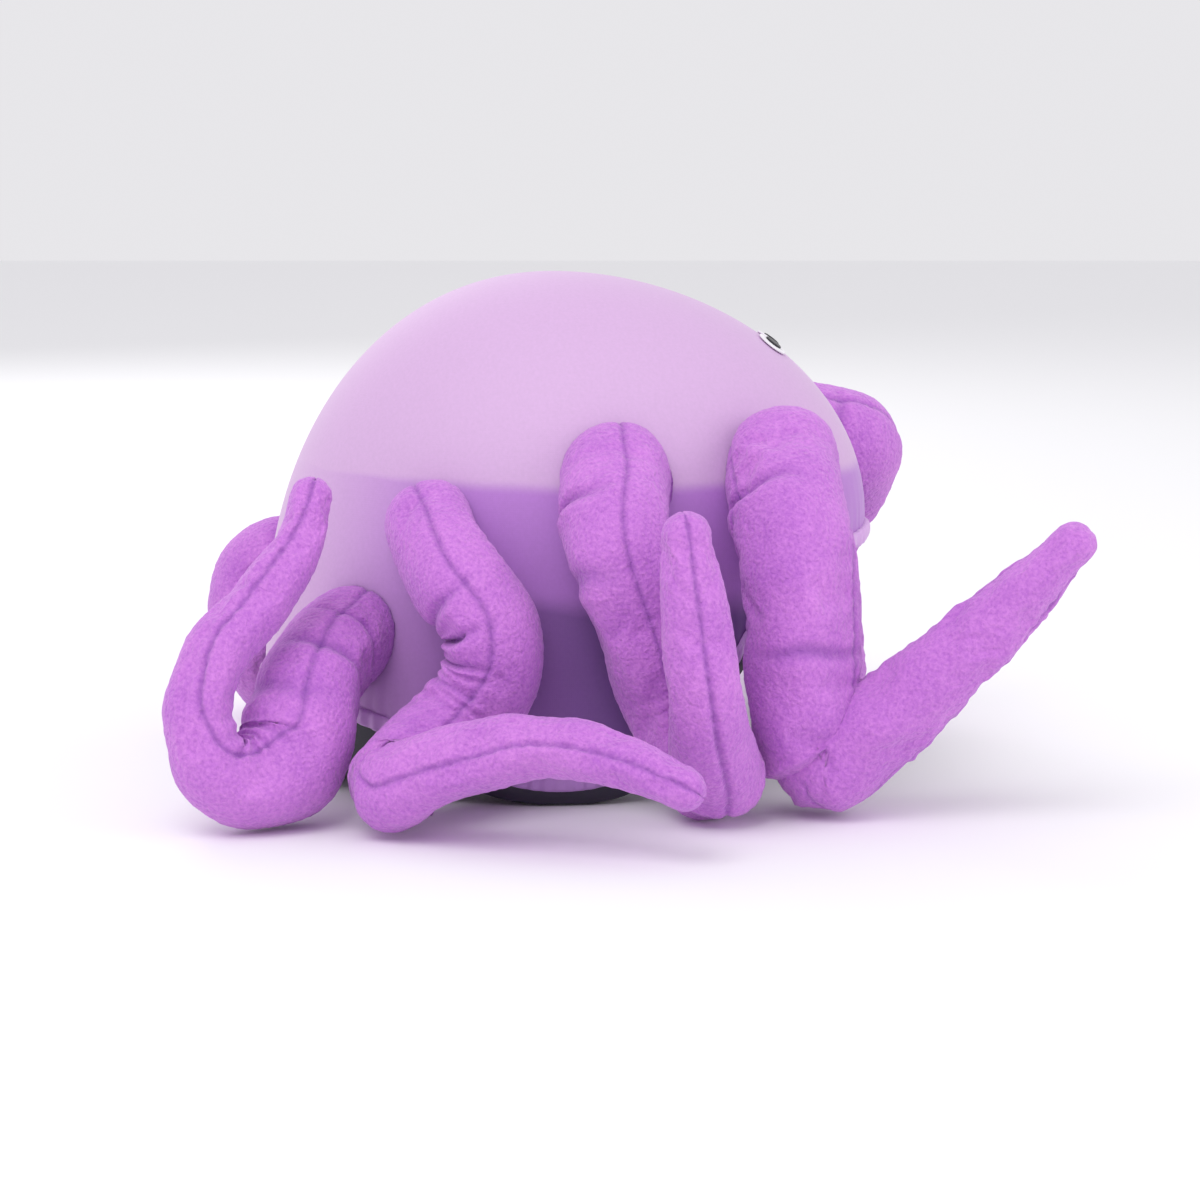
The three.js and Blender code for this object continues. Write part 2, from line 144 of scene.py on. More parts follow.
def edge_height(angles, heights, turn):
    """Height in mm of an edge at a turn from the front, in radians: straight between the given angles,
    then eased by averaging it with its neighbours, and the same on both sides."""
    shift = np.radians([-6, -3, 0, 3, 6])[:, None]
    away = np.degrees(np.arccos(np.clip(np.cos(turn.reshape(1, -1) + shift), -1, 1)))
    return np.interp(away, angles, heights).mean(0).reshape(turn.shape)


def dome_point(turn, height, depth):
    """A point of the dome in metres, from a turn in radians and a height and depth in mm. From above it
    is two half ellipses. From the side its reach is a superellipse arc over the waist and eases below it."""
    forward = np.cos(turn)
    share = {key: DOME_REAR[key] + (DOME_FRONT[key] - DOME_REAR[key]) * (1 + forward) / 2
             for key in ("waist", "fullness", "tuck")}
    length = np.where(forward > 0, DOME_FRONT["length"], DOME_REAR["length"]) - depth
    reach = 1 / np.hypot(forward / length, np.sin(turn) / (DOME["width"] - depth))
    above = np.clip((height - share["waist"]) / (DOME["top"] - depth - share["waist"]), 0, 1)
    below = np.maximum((share["waist"] - height) / share["waist"], 0)
    out = reach * ((1 - above ** share["fullness"]) ** (1 / share["fullness"]) - share["tuck"] * below ** 2)
    place = np.stack([DOME["centre_x"] + out * forward, out * np.sin(turn), height + 0 * out], -1)
    return place * MM + HELMET


def surface(name, grid, poles=(None, None), loop=True, tube=False, marks=None, cloth=None):
    """Makes a mesh from a grid of points, rows by columns, with four-sided faces. loop joins the last
    column to the first, tube the last row to the first, and a pole closes an end row with a fan.
    marks are named values on the grid, and cloth is the pair of flat coordinates that a weave follows."""
    rows, columns = grid.shape[:2]
    number = np.arange(rows * columns).reshape(rows, columns)
    if loop:
        number = np.hstack([number, number[:, :1]])
    if tube:
        number = np.vstack([number, number[:1]])
    faces = np.stack([number[:-1, :-1], number[:-1, 1:], number[1:, 1:], number[1:, :-1]], -1).reshape(-1, 4)
    points = grid.reshape(-1, 3)
    fans = []
    for pole, row, order in ((poles[0], number[0], 1), (poles[1], number[-1], -1)):
        if pole is not None:
            middle = np.full(len(row) - 1, len(points))
            points = np.vstack([points, pole])
            fans.append(np.stack([middle, row[1:], row[:-1]][::order], -1))
    corners = [faces.ravel()] + [fan.ravel() for fan in fans]
    sizes = np.concatenate([np.full(len(faces), 4)] + [np.full(len(fan), 3) for fan in fans])
    triangles = np.vstack([faces[:, [0, 1, 2]], faces[:, [0, 2, 3]], *fans])
    a, b, c = (points[triangles[:, k]] - points.mean(0) for k in range(3))
    inside_out = (a * np.cross(b, c)).sum() < 0
    mesh = bpy.data.meshes.new(name)
    order = slice(None, None, -1) if inside_out else slice(None)
    loops = np.concatenate(corners)[order]
    sizes = sizes[order]
    mesh.vertices.add(len(points))
    mesh.vertices.foreach_set("co", points.astype(np.float32).ravel())
    mesh.loops.add(len(loops))
    mesh.loops.foreach_set("vertex_index", loops.astype(np.int32))
    mesh.polygons.add(len(sizes))
    mesh.polygons.foreach_set("loop_start", np.concatenate([[0], np.cumsum(sizes)[:-1]]).astype(np.int32))
    mesh.polygons.foreach_set("loop_total", sizes.astype(np.int32))
    mesh.update(calc_edges=True)
    mesh.shade_smooth()
    spare = len(points) - rows * columns
    for key, values in (marks or {}).items():
        filled = np.concatenate([values.ravel(), np.zeros(spare)])
        mesh.attributes.new(key, "FLOAT", "POINT").data.foreach_set("value", filled.astype(np.float32))
    if cloth is not None:
        flat = np.vstack([cloth.reshape(-1, 2), np.zeros((spare, 2))])
        mesh.uv_layers.new(name="weave").data.foreach_set("uv", flat[loops].astype(np.float32).ravel())
    made = bpy.data.objects.new(name, mesh)
    scene.collection.objects.link(made)
    return made


def dome_rows(edge, depth, turns, rows):
    """Rings of the dome from near its top down to an edge line. Their heights above it fall as a cosine."""
    end = edge[None, :]
    fall = np.cos(np.linspace(0, np.pi / 2, rows + 1)[1:])[:, None]
    return dome_point(turns[None, :] + 0 * fall, end + (DOME["top"] - depth - end) * fall, depth)


def dome_wall(name, turns, edge, outer, inner, rows):
    """A dome with two faces, and a rounded lower edge between them. Its lip drops in an arc, as the sine
    of its angle, while its depth goes from the outer face to the inner as the cosine."""
    fall = np.radians([45, 90, 135])[:, None]
    half = (outer + inner) / 2
    thick = (inner - outer) / 2
    lip = dome_point(turns[None, :] + 0 * fall, edge[None, :] - thick * np.sin(fall) * 0.8,
                     half - thick * np.cos(fall))
    grid = np.vstack([dome_rows(edge, outer, turns, rows), lip, dome_rows(edge, inner, turns, rows)[::-1]])
    tops = [HELMET + np.array([DOME["centre_x"], 0, DOME["top"] - depth]) * MM for depth in (outer, inner)]
    return surface(name, grid, tops)


def group(name, inputs, outputs):
    """A shader node group with number or colour sockets, its tree, and its two end nodes."""
    tree = bpy.data.node_groups.new(name, "ShaderNodeTree")
    for label, kind, start in inputs:
        socket = tree.interface.new_socket(label, in_out="INPUT", socket_type=kind)
        socket.default_value = start
    for label, kind in outputs:
        tree.interface.new_socket(label, in_out="OUTPUT", socket_type=kind)
    return tree, tree.nodes.new("NodeGroupInput"), tree.nodes.new("NodeGroupOutput")


def node(tree, kind, links=None, **settings):
    """Adds a node, sets its properties, and links or sets its inputs by name or number."""
    made = tree.nodes.new(kind)
    for key, value in settings.items():
        setattr(made, key, value)
    for key, value in (links or {}).items():
        if isinstance(value, bpy.types.NodeSocket):
            tree.links.new(value, made.inputs[key])
        else:
            made.inputs[key].default_value = value
    return made


def math(tree, operation, first, second=0.0):
    """The result of one sum on two numbers."""
    return node(tree, "ShaderNodeMath", {0: first, 1: second}, operation=operation).outputs[0]


NUMBER = "NodeSocketFloat"

# Fine random wear, for hard parts: faint broad blotches and fine scuffs.
wear, wear_in, wear_out = group("wear", [("Blotch", NUMBER, 40.0), ("Scuff", NUMBER, 900.0)],
                                [("Height", NUMBER), ("Mask", NUMBER)])
wear_place = node(wear, "ShaderNodeTexCoord").outputs["Object"]
wear_blotch = node(wear, "ShaderNodeTexNoise",
                   {"Vector": wear_place, "Scale": wear_in.outputs["Blotch"], "Detail": 4})
wear_scuff = node(wear, "ShaderNodeTexNoise",
                  {"Vector": wear_place, "Scale": wear_in.outputs["Scuff"], "Detail": 2})
wear.links.new(wear_blotch.outputs[0], wear_out.inputs["Mask"])
wear.links.new(wear_scuff.outputs[0], wear_out.inputs["Height"])


def two_tone(tree, mask, low, high):
    """A colour between two, by a mask."""
    ramp = node(tree, "ShaderNodeMix", {0: mask, 6: (*low, 1), 7: (*high, 1)}, data_type="RGBA")
    return ramp.outputs[2]


def bumped(tree, shader, height, strength, distance):
    """Feeds a height to the shader's normal."""
    bump = node(tree, "ShaderNodeBump", {"Height": height, "Strength": strength, "Distance": distance})
    tree.links.new(bump.outputs[0], shader.inputs["Normal"])


def moulded(name, low, high, roughness, blotch=40.0, scuff=900.0, strength=0.15):
    """Moulded plastic with faint blotches in its colour and gloss, and fine scuffs."""
    made, shader = plain_material(name, high, roughness)
    tree = made.node_tree
    worn = node(tree, "ShaderNodeGroup", node_tree=wear)
    worn.inputs["Blotch"].default_value = blotch
    worn.inputs["Scuff"].default_value = scuff
    tree.links.new(two_tone(tree, worn.outputs["Mask"], low, high), shader.inputs["Base Color"])
    rough = math(tree, "MULTIPLY_ADD", worn.outputs["Mask"], 0.25)
    rough.node.inputs[2].default_value = roughness - 0.1
    tree.links.new(rough, shader.inputs["Roughness"])
    bumped(tree, shader, worn.outputs["Height"], strength, 0.0004)
    return made


TURNS = 288
turns = np.arange(TURNS) * 2 * np.pi / TURNS
rim = edge_height(RIM_ANGLES, RIM_HEIGHTS, turns)
shell = dome_wall("shell_skin", turns, rim + SHELL_LIFT + 1, SHELL_OUT, SHELL_IN, 60)
shell.data.materials.append(moulded("shell_gloss", (0.012, 0.009, 0.022), (0.03, 0.022, 0.05), 0.36))
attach(shell, "root")
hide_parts("helmet_shell")

# ------------------------------------------------------------------ foam liner
# The crushable liner is expanded bead foam, moulded into the shell. Its beads show as small
# rounded cells all over its inside and along its lower edge.
LINER_OUT = 7.4
LINER_IN = 27
LIP = 7.9
liner = dome_wall("liner_foam", turns, rim + LIP, LINER_OUT, LINER_IN, 60)
foam, foam_shader = plain_material("bead_foam", (0.03, 0.027, 0.035), 0.85)
foam_place = node(foam.node_tree, "ShaderNodeTexCoord").outputs["Object"]
beads = node(foam.node_tree, "ShaderNodeTexVoronoi", {"Vector": foam_place, "Scale": 320.0},
             feature="SMOOTH_F1")
foam.node_tree.links.new(two_tone(foam.node_tree, beads.outputs["Distance"], (0.045, 0.04, 0.052),
                                  (0.015, 0.013, 0.018)), foam_shader.inputs["Base Color"])
foam_height = math(foam.node_tree, "MULTIPLY", beads.outputs["Distance"], -1.0)
bumped(foam.node_tree, foam_shader, foam_height, 0.5, 0.0008)
liner.data.materials.append(foam)
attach(liner, "root")
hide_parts("foam_liner")

# ------------------------------------------------------------------ comfort pads
# Soft pads of brushed fabric over foam, stuck inside the liner at the brow, nape, ears and crown.
# Each is crowned in the middle and drawn in along its edges.


def brushed(name, low, high, size, strength):
    """Brushed or felted cloth: short matted fibre, blotched a little."""
    made, shader = plain_material(name, high, 0.95)
    tree = made.node_tree
    worn = node(tree, "ShaderNodeGroup", node_tree=wear)
    worn.inputs["Blotch"].default_value = size / 4
    worn.inputs["Scuff"].default_value = size
    tree.links.new(two_tone(tree, worn.outputs["Mask"], low, high), shader.inputs["Base Color"])
    bumped(tree, shader, worn.outputs["Height"], strength, 0.0006)
    shader.inputs["Sheen Weight"].default_value = 0.25
    return made


padding = brushed("pad_cloth", (0.012, 0.011, 0.015), (0.03, 0.027, 0.035), 900.0, 0.5)


def puffed(along, across, power=0.45):
    """How full a pad is over its face, from 0 at its edges to 1 in its middle."""
    return (np.sin(np.pi * along) * np.sin(np.pi * across)) ** power


def pad(name, node_name, start, end, low, high, outer, inner):
    """A pad on the dome's inside: its two faces swell from a common edge line half way between them."""
    along = np.linspace(0, 1, 49)[:, None, None]
    across = np.linspace(0, 1, 25)[None, :, None]
    face = np.array([1, -1])[None, None, :]
    full = puffed(along, across)
    depth = (outer + inner) / 2 - face * full * (inner - outer) / 2
    turn = np.radians(start + (end - start) * along) + 0 * depth
    height = low + (high - low) * across + 0 * depth
    both = dome_point(turn, height, depth)
    grid = np.concatenate([both[:, :, 0], both[:, -2:0:-1, 1]], 1)
    made = surface(name, grid, (grid[0].mean(0), grid[-1].mean(0)))
    made.data.materials.append(padding)
    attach(made, "root")
    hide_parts(node_name)


pad("brow_cushion", "brow_pad", -38, 38, 112, 138, 30, 37)
pad("nape_cushion", "nape_pad", 150, 210, 62, 96, 29, 36)
pad("ear_cushion_left", "ear_pad_left", 58, 92, 22, 74, 28.4, 36)
pad("ear_cushion_right", "ear_pad_right", -92, -58, 22, 74, 28.4, 36)

low_corner, high_corner = (np.array(corner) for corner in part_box("crown_pad"))
crown_middle = (low_corner + high_corner) / 2
crown_half = (high_corner - low_corner) / 2
tilt = np.linspace(-np.pi / 2, np.pi / 2, 25)[1:-1, None]
ring = np.linspace(0, 2 * np.pi, 64, endpoint=False)[None, :]
flat = np.sign(np.sin(tilt)) * np.abs(np.sin(tilt)) ** 0.7
round_edge = np.cos(tilt) ** 0.35
crown_grid = crown_middle + crown_half * np.stack(
    [round_edge * np.cos(ring), round_edge * np.sin(ring), flat + 0 * ring], -1)
crown_cushion = surface("crown_cushion", crown_grid,
                        (crown_middle - [0, 0, crown_half[2]], crown_middle + [0, 0, crown_half[2]]))
crown_cushion.data.materials.append(padding)
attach(crown_cushion, "root")
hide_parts("crown_pad")

# ------------------------------------------------------------------ fit system and hard small parts
# The springy nape cradle, its dial, the strap anchors and the two halves of the buckle are moulded
# plastic with a fine matt texture.
black_plastic = moulded("black_plastic", (0.008, 0.008, 0.01), (0.02, 0.019, 0.023), 0.5, 90.0, 1500.0, 0.3)
for hard in ("nape_cradle", "fit_dial", "strap_anchor_left", "strap_anchor_right", "buckle_tongue",
             "buckle_socket"):
    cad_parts[hard].data.materials.clear()
    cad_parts[hard].data.materials.append(black_plastic)

# ------------------------------------------------------------------ chin strap
# Flat woven webbing from an anchor inside each side down to the buckle, where the strap lies on
# the table under the helmet.
STRAP_X = -18
STRAP_HALF = [(71, 34), (69.5, 18), (61, 5), (42, 2.2), (21, 2.2)]
STRAP_WIDTH = 16
STRAP_THICK = 1.6


def smooth_line(points, count):
    """Points along a curve through the given ones: a Catmull-Rom curve whose spans are weighted by the
    root of their length. Also gives each given point's place on it, as a share of its length."""
    ends = np.vstack([2 * points[0] - points[1], points, 2 * points[-1] - points[-2]])
    span = np.linalg.norm(np.diff(ends[:, :3], axis=0), axis=1)[:, None] ** 0.5
    before, here, after = span[:-2], span[1:-1], span[2:]
    p0, p1, p2, p3 = ends[:-3], ends[1:-2], ends[2:-1], ends[3:]
    leave = ((p1 - p0) / before - (p2 - p0) / (before + here) + (p2 - p1) / here) * here
    arrive = ((p2 - p1) / here - (p3 - p1) / (here + after) + (p3 - p2) / after) * here
    leave[:, 3:] = (p2 - p1)[:, 3:]
    arrive[:, 3:] = (p2 - p1)[:, 3:]
    fine = 60
    t = np.linspace(0, 1, fine, endpoint=False)[None, :, None]
    curve = ((2 * t ** 3 - 3 * t ** 2 + 1) * p1[:, None] + (t ** 3 - 2 * t ** 2 + t) * leave[:, None]
             + (3 * t ** 2 - 2 * t ** 3) * p2[:, None] + (t ** 3 - t ** 2) * arrive[:, None])
    curve = np.vstack([curve.reshape(-1, points.shape[1]), points[-1]])
    length = np.concatenate([[0], np.cumsum(np.linalg.norm(np.diff(curve[:, :3], axis=0), axis=1))])
    even = np.linspace(0, length[-1], count)
    line = np.stack([np.interp(even, length, curve[:, k]) for k in range(points.shape[1])], 1)
    return line, length[np.arange(len(points)) * fine] / length[-1], length[-1]


webbing, webbing_shader = plain_material("webbing_weave", (0.02, 0.018, 0.025), 0.85)
weave_place = node(webbing.node_tree, "ShaderNodeUVMap", uv_map="weave").outputs[0]
warp = node(webbing.node_tree, "ShaderNodeTexWave", {"Vector": weave_place, "Scale": 400.0},
            bands_direction="X")
weft = node(webbing.node_tree, "ShaderNodeTexWave", {"Vector": weave_place, "Scale": 260.0},
            bands_direction="Y")
woven = math(webbing.node_tree, "MULTIPLY", warp.outputs["Fac"], weft.outputs["Fac"])
webbing.node_tree.links.new(two_tone(webbing.node_tree, woven, (0.008, 0.007, 0.01), (0.035, 0.031, 0.042)),
                            webbing_shader.inputs["Base Color"])
bumped(webbing.node_tree, webbing_shader, woven, 0.5, 0.0005)

for side, sign in (("left", 1), ("right", -1)):
    course = np.array([(STRAP_X, sign * y, z) for y, z in STRAP_HALF]) * MM + HELMET
    line, _, strap_length = smooth_line(course, 60)
    along = np.gradient(line, axis=0)
    along /= np.linalg.norm(along, axis=1)[:, None]
    across = np.array([1.0, 0, 0])
    out = np.cross(along, across)
    turn = np.linspace(0, 2 * np.pi, 24, endpoint=False)
    wide = np.sign(np.cos(turn)) * np.abs(np.cos(turn)) ** 0.4 * STRAP_WIDTH / 2 * MM
    thick = np.sign(np.sin(turn)) * np.abs(np.sin(turn)) ** 0.8 * STRAP_THICK / 2 * MM
    strap_grid = line[:, None] + wide[None, :, None] * across + thick[None, :, None] * out[:, None]
    weave = np.stack(np.broadcast_arrays(wide[None, :], np.linspace(0, strap_length, 60)[:, None]), -1)
    strap = surface(f"strap_{side}", strap_grid, (line[0], line[-1]), cloth=weave)
    strap.data.materials.append(webbing)
    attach(strap, "chin_strap")
    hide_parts(f"chin_strap_{side}")

# ------------------------------------------------------------------ knit crown
# Pale stretch knit pulled tight over the helmet: smooth, with a satin face. Its tint deepens
# low down and towards the front, partly where the thin knit shows the dark shell and partly as painted
# shade. It gathers towards the hem, and has an upright slot with a turned edge at each side of the back.
HEM_ANGLES = [0, 25, 40, 50, 61, 75, 90, 107, 122, 140, 160, 180]
HEM_HEIGHTS = [109, 105, 90, 60, 30, 16, 13, 20, 33, 42, 44, 44]
HEM_GAP = -1.0
KNIT_THICK = 1.2
SLOT_TURN = 158
SLOT_LOW = 84
SLOT_HIGH = 110
CROWN_TURNS = 480
CROWN_ROWS = 100
PLEATS = 120


def pleat(turn):
    """Uneven gathers round the hem, from -1 to 1: a wave whose pace and height drift."""
    return np.sin(PLEATS * turn + 1.9 * np.sin(5 * turn) + 1.3 * np.sin(13 * turn + 1)) * (
        0.7 + 0.3 * np.sin(31 * turn + 2))


crown_turns = np.arange(CROWN_TURNS) * 2 * np.pi / CROWN_TURNS
hem_line = edge_height(HEM_ANGLES, HEM_HEIGHTS, crown_turns)
cover_edge = (hem_line + HEM_GAP)[None, :]
fall = np.cos(np.linspace(0, np.pi / 2, CROWN_ROWS + 1)[1:])[:, None]
cover_height = cover_edge + (DOME["top"] - cover_edge) * fall
cover_turn = crown_turns[None, :] + 0 * cover_height
above_hem = cover_height - cover_edge
gather = pleat(cover_turn) * np.exp(-above_hem / 9)
cover_grid = dome_point(cover_turn, cover_height, -0.55 * gather)
cover_weave = np.stack([cover_turn * 0.11, cover_height * MM], -1)
cover_top = HELMET + np.array([DOME["centre_x"], 0, DOME["top"]]) * MM
knit_cover = surface("knit_crown", cover_grid, (cover_top, None),
                     marks={"gather": gather}, cloth=cover_weave)

# Cut the slots: the faces between two upright grid lines and two heights.
cuts = np.zeros(len(knit_cover.data.polygons) * 3)
knit_cover.data.polygons.foreach_get("center", cuts)
cuts = (cuts.reshape(-1, 3) - HELMET) / MM
cut_turn = np.degrees(np.arctan2(np.abs(cuts[:, 1]), cuts[:, 0] - DOME["centre_x"]))
narrow = np.interp(cuts[:, 2], [SLOT_LOW, SLOT_LOW + 7, SLOT_HIGH - 7, SLOT_HIGH], [0.4, 1.2, 1.2, 0.4])
in_slot = (cuts[:, 2] > SLOT_LOW) & (cuts[:, 2] < SLOT_HIGH)
doomed = np.flatnonzero((np.abs(cut_turn - SLOT_TURN) < narrow) & in_slot)
cutting = bmesh.new()
cutting.from_mesh(knit_cover.data)
cutting.faces.ensure_lookup_table()
bmesh.ops.delete(cutting, geom=[cutting.faces[k] for k in doomed], context="FACES")
cutting.to_mesh(knit_cover.data)
cutting.free()

thickness = knit_cover.modifiers.new("cloth_thickness", "SOLIDIFY")
thickness.thickness = KNIT_THICK * MM
thickness.offset = -1

# Knit: rows of small v-shaped stitches on the cloth's own flat coordinates.
knit, knit_in, knit_out = group("knit", [("Wale", NUMBER, 1100.0)], [("Height", NUMBER), ("Grain", NUMBER)])
knit_place = node(knit, "ShaderNodeUVMap", uv_map="weave").outputs[0]
knit_parts = node(knit, "ShaderNodeSeparateXYZ", {0: knit_place})
wale = math(knit, "MULTIPLY", knit_parts.outputs[0], knit_in.outputs["Wale"])
course_count = math(knit, "MULTIPLY", knit_parts.outputs[1], knit_in.outputs["Wale"])
lean = math(knit, "PINGPONG", wale, 0.5)
slanted = math(knit, "FRACT", math(knit, "ADD", course_count, lean))
stitch = math(knit, "PINGPONG", slanted, 0.5)
knit_height = math(knit, "ADD", stitch, math(knit, "MULTIPLY", lean, 0.6))
knit_object = node(knit, "ShaderNodeTexCoord").outputs["Object"]
knit_noise = node(knit, "ShaderNodeTexNoise", {"Vector": knit_object, "Scale": 700.0, "Detail": 3})
knit.links.new(knit_height, knit_out.inputs["Height"])
knit.links.new(knit_noise.outputs[0], knit_out.inputs["Grain"])


def knit_cloth(name, high, middle, low, first_step, second_step):
    """Stretch knit whose tint deepens below two heights and towards the front: partly the dark shell showing
    through the thin knit, partly painted shade.
    """
    made, shader = plain_material(name, high, 0.62)
    tree = made.node_tree
    stitches = node(tree, "ShaderNodeGroup", node_tree=knit)
    stitches.inputs["Wale"].default_value = 1100.0
    place = node(tree, "ShaderNodeTexCoord").outputs["Object"]
    drift = node(tree, "ShaderNodeTexNoise", {"Vector": place, "Scale": 14.0, "Detail": 2}).outputs[0]
    parts = node(tree, "ShaderNodeSeparateXYZ", {0: place})
    height = parts.outputs[2]
    # Painted shade in part: the tint also darkens towards the front, along +X.
    fade = [node(tree, "ShaderNodeMapRange", {"Value": parts.outputs[0], "From Min": start, "From Max": end,
                                              "To Min": 1.0, "To Max": 0.0}, interpolation_type="SMOOTHSTEP")
            for start, end in ((-0.15, -0.05), (-0.11, 0.01))]
    level = math(tree, "ADD", height, math(tree, "MULTIPLY", math(tree, "SUBTRACT", drift, 0.5), 0.008))
    upper = node(tree, "ShaderNodeMapRange", {"Value": level, "From Min": first_step - 0.004,
                                              "From Max": first_step + 0.003},
                 interpolation_type="SMOOTHSTEP")
    lower = node(tree, "ShaderNodeMapRange", {"Value": level, "From Min": second_step - 0.012,
                                              "From Max": second_step + 0.003},
                 interpolation_type="SMOOTHSTEP")
    lower_mask = math(tree, "MAXIMUM", lower.outputs[0], fade[1].outputs[0])
    upper_mask = math(tree, "MAXIMUM", upper.outputs[0], fade[0].outputs[0])
    dark = node(tree, "ShaderNodeMix", {0: lower_mask, 6: (*low, 1), 7: (*middle, 1)}, data_type="RGBA")
    tint = node(tree, "ShaderNodeMix", {0: upper_mask, 6: dark.outputs[2], 7: (*high, 1)}, data_type="RGBA")
    speck = node(tree, "ShaderNodeMapRange",
                 {"Value": stitches.outputs["Grain"], "To Min": 0.93, "To Max": 1.06})
    final = node(tree, "ShaderNodeVectorMath", {0: tint.outputs[2], "Scale": speck.outputs[0]},
                 operation="SCALE")
    tree.links.new(final.outputs[0], shader.inputs["Base Color"])
    bumped(tree, shader, stitches.outputs["Height"], 0.12, 0.0003)
    shader.inputs["Sheen Weight"].default_value = 0.2
    shader.inputs["Sheen Roughness"].default_value = 0.4
    return made


# The high tint is the knit's own; the middle and low tints are partly the dark shell through the knit, partly
# painted shade.
KNIT_HIGH = (0.62, 0.40, 0.66)
KNIT_MIDDLE = (0.46, 0.20, 0.60)
KNIT_LOW = (0.17, 0.075, 0.27)
crown_knit = knit_cloth("crown_knit", KNIT_HIGH, KNIT_MIDDLE, KNIT_LOW, 0.135, 0.089)
knit_cover.data.materials.append(crown_knit)
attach(knit_cover, "root")
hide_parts("crown_cover")


def cord_ring(name, path, thick, sides=12):
    """A round bead that follows a closed path."""
    along = np.roll(path, -1, 0) - np.roll(path, 1, 0)
    along /= np.linalg.norm(along, axis=1)[:, None]
    away = path - path.mean(0)
    side = np.cross(along, away)
    side /= np.linalg.norm(side, axis=1)[:, None]
    up = np.cross(side, along)
    turn = np.linspace(0, 2 * np.pi, sides, endpoint=False)[None, :, None]
    return surface(name, path[:, None] + thick * (np.cos(turn) * side[:, None] + np.sin(turn) * up[:, None]),
                   tube=True)


for side, sign in (("left", 1), ("right", -1)):
    lap = np.linspace(0, 2 * np.pi, 96, endpoint=False)
    slot_turn = sign * np.radians(SLOT_TURN + 1.15 * np.sin(lap))
    slot_height = (SLOT_LOW + SLOT_HIGH) / 2 + (SLOT_HIGH - SLOT_LOW + 2) / 2 * np.cos(lap)
    binding = cord_ring(f"slot_binding_{side}", dome_point(slot_turn, slot_height, -0.1), 0.95 * MM)
    binding.data.materials.append(brushed("slot_tape", (0.6, 0.42, 0.68), (0.78, 0.6, 0.83), 900.0, 0.4))
    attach(binding, "root")

# ------------------------------------------------------------------ hem and elastic
# The cover's lower edge is folded into a casing and gathered over flat elastic, so it shirrs into
# small pleats all round.
HEM_HEIGHT = 7
HEM_TURNS = 960


def band(name, section, ruffle, thick_ruffle):
    """A band round the hem line. Its section is a closed outline of (depth, rise) in mm, and the pleats
    push it out and in."""
    turn = np.arange(HEM_TURNS) * 2 * np.pi / HEM_TURNS
    line = edge_height(HEM_ANGLES, HEM_HEIGHTS, turn)
    depth, rise = np.array(section, float).T
    fold = pleat(turn)[:, None]
    out = np.where(depth < 0, 1.0, 0.35)[None, :]
    grid = dome_point(turn[:, None] + 0 * depth, line[:, None] + rise + thick_ruffle * fold,
                      depth - ruffle * fold * out)
    weave = np.stack(np.broadcast_arrays(turn[:, None] * 0.11, rise[None, :] * MM), -1)
    return surface(name, grid, tube=True, cloth=weave)


corner_turn = np.linspace(0, 2 * np.pi, 28, endpoint=False)
rounded = np.stack([-0.15 + 2.05 * np.sign(np.cos(corner_turn)) * np.abs(np.cos(corner_turn)) ** 0.7,
                    -HEM_HEIGHT / 2 + HEM_HEIGHT / 2 * np.sign(np.sin(corner_turn)) * np.abs(
                        np.sin(corner_turn)) ** 0.7], 1)
casing = band("hem_shirring", rounded, 0.75, 0.12)
# The hem's tint deepens the same way, low down and towards the front, partly as painted shade.
hem_knit = knit_cloth("hem_knit", (0.66, 0.4, 0.74), (0.58, 0.32, 0.7), (0.44, 0.23, 0.56), 0.10, 0.03)
casing.data.materials.append(hem_knit)
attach(casing, "root")
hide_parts("hem_casing")

tape = band("elastic_tape", [(-0.9, -1.7), (-0.9, -5.4), (0.5, -5.4), (0.5, -1.7)], 0.1, 0)
tape.data.materials.append(brushed("elastic_rib", (0.6, 0.58, 0.62), (0.8, 0.78, 0.82), 1200.0, 0.4))
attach(tape, "root")
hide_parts("hem_elastic")

# ------------------------------------------------------------------ felt eyes
# Each eye is a small white felt disc stitched to the front of the crown, with a dark one on it.
EYE_TURN = np.radians(6)
EYE_HEIGHT = 187
felt_white = brushed("felt_white", (0.74, 0.72, 0.76), (0.88, 0.87, 0.9), 700.0, 0.5)
felt_dark = brushed("felt_dark", (0.01, 0.008, 0.014), (0.03, 0.026, 0.036), 700.0, 0.5)


def disc(name, centre, outward, radius, thick):
    """A soft disc: its two faces meet in a rounded edge, and its middle is a little full."""
    across = np.cross(outward, [0, 1.0, 0])
    across /= np.linalg.norm(across)
    upward = np.cross(across, outward)
    tilt = np.linspace(-np.pi / 2, np.pi / 2, 15)[1:-1, None, None]
    spin = np.linspace(0, 2 * np.pi, 48, endpoint=False)[None, :, None]
    rise = thick / 2 * np.sign(np.sin(tilt)) * np.abs(np.sin(tilt)) ** 0.6
    reach = radius * np.cos(tilt) ** 0.4
    grid = centre + outward * rise + reach * (np.cos(spin) * across + np.sin(spin) * upward)
    return surface(name, grid, (centre - outward * thick / 2, centre + outward * thick / 2))


for side, sign in (("left", 1), ("right", -1)):
    here = dome_point(np.array(sign * EYE_TURN), np.array(EYE_HEIGHT), 0)
    east = dome_point(np.array(sign * EYE_TURN + 0.01), np.array(EYE_HEIGHT), 0) - here
    south = dome_point(np.array(sign * EYE_TURN), np.array(EYE_HEIGHT - 1), 0) - here
    outward = np.cross(south, east)
    outward /= np.linalg.norm(outward)
    for part, cloth_used, radius, level, felt in (("white", "felt_white", 7.0, 0.7, felt_white),
                                                  ("pupil", "felt_dark", 4.0, 1.6, felt_dark)):
        eye = disc(f"eye_{part}_felt_{side}", here + outward * level * MM, outward, radius * MM, 1.2 * MM)
        eye.data.materials.append(felt)
        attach(eye, "root")
        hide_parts(f"eye_{part}_{side}")

